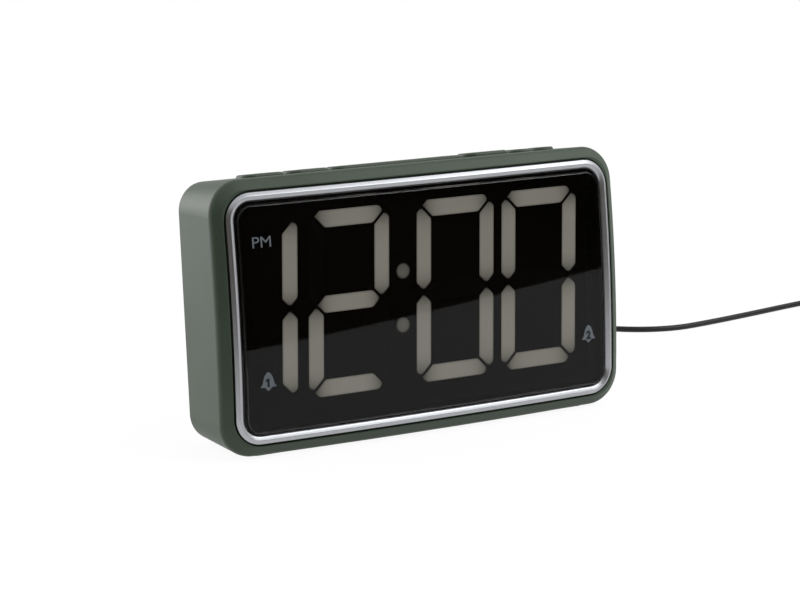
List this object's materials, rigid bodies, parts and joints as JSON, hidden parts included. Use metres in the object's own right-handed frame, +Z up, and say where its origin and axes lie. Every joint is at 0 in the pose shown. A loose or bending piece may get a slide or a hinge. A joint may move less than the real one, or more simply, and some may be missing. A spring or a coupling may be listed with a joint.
{
  "type": "digital desk clock",
  "caption": "Digital desk clock: crowned dark window in a silver ring, large segment digits, sprung keys on top, battery door behind and a coiled low-voltage supply lead with plug.",
  "frame": {"origin": "on the table under the middle of the clock's box, the lead and what is on it left out", "axes": "+X to the right as seen from the front, +Y from the window towards the back, +Z up"},
  "size_m": [0.3696, 0.1487, 0.096],
  "materials": {
    "green_case": "fine satin grain",
    "green_keys": "fine satin grain",
    "silver_trim": "satin silver paint",
    "smoked_window": "polished, dark smoked",
    "black_plastic": "matt",
    "lit_diffuser": "pale, even glow",
    "dark_diffuser": "unlit behind the window",
    "led_resin": "clear resin",
    "circuit_board": "solder mask",
    "can_aluminium": "plain",
    "bright_steel": "nickel plated",
    "cell_sleeve": "plain sleeve",
    "buzzer_metal": "black",
    "black_rubber": "matt",
    "cord_jacket": "smooth satin",
    "tie_strap": "matt",
    "plug_moulding": "fine grain",
    "white_plastic": "plain"
  },
  "bodies": {
    "clock": {"housing": "green_case", "rear_cover": "green_case", "trim_ring": "silver_trim", "front_lens": "smoked_window", "display_block": "black_plastic", "hour_tens_segments": "lit_diffuser", "hour_segments": "lit_diffuser", "minute_tens_segments": "lit_diffuser", "minute_segments": "lit_diffuser", "colon_dots": "lit_diffuser", "unlit_segments": "dark_diffuser", "leds": "led_resin", "display_board": "circuit_board", "button_board": "circuit_board", "control_chip": "black_plastic", "board_capacitors": "can_aluminium", "crystal": "bright_steel", "switch_bodies": "black_plastic", "board_screws": "bright_steel", "strip_screws": "bright_steel", "cover_screws": "bright_steel", "backup_cells": "cell_sleeve", "cell_contacts": "bright_steel", "buzzer": "buzzer_metal", "feet": "black_rubber", "cord_relief": "cord_jacket", "power_cord": "cord_jacket", "cord_coil": "cord_jacket", "plug_lead": "cord_jacket", "cord_tie": "tie_strap", "plug_grip": "plug_moulding", "plug_shell": "bright_steel", "plug_tongue": "white_plastic"},
    "alarm_one_key": {"alarm_one_button": "green_keys", "alarm_one_plunger": "white_plastic"},
    "alarm_two_key": {"alarm_two_button": "green_keys", "alarm_two_plunger": "white_plastic"},
    "snooze_key": {"snooze_button": "green_keys", "snooze_plunger": "white_plastic"},
    "set_key": {"set_button": "green_keys", "set_plunger": "white_plastic"},
    "minus_key": {"minus_button": "green_keys", "minus_plunger": "white_plastic"},
    "plus_key": {"plus_button": "green_keys", "plus_plunger": "white_plastic"},
    "door": {"battery_door": "green_case"}
  },
  "joints": [
    {"name": "alarm_one_press", "type": "slide", "parent": "clock", "child": "alarm_one_key", "axis": [0, -0.1668, -0.986], "range_m": [0, 0.0006], "stiffness_N_per_m": 2000},
    {"name": "alarm_two_press", "type": "slide", "parent": "clock", "child": "alarm_two_key", "axis": [0, -0.1668, -0.986], "range_m": [0, 0.0006], "stiffness_N_per_m": 2000},
    {"name": "snooze_press", "type": "slide", "parent": "clock", "child": "snooze_key", "axis": [0, -0.1668, -0.986], "range_m": [0, 0.0006], "stiffness_N_per_m": 2000},
    {"name": "set_press", "type": "slide", "parent": "clock", "child": "set_key", "axis": [0, -0.1668, -0.986], "range_m": [0, 0.0006], "stiffness_N_per_m": 2000},
    {"name": "minus_press", "type": "slide", "parent": "clock", "child": "minus_key", "axis": [0, -0.1668, -0.986], "range_m": [0, 0.0006], "stiffness_N_per_m": 2000},
    {"name": "plus_press", "type": "slide", "parent": "clock", "child": "plus_key", "axis": [0, -0.1668, -0.986], "range_m": [0, 0.0006], "stiffness_N_per_m": 2000},
    {"name": "battery_door_pull", "type": "slide", "parent": "clock", "child": "door", "axis": [0, 0.9965, -0.0837], "range_m": [0, 0.015]}
  ]
}
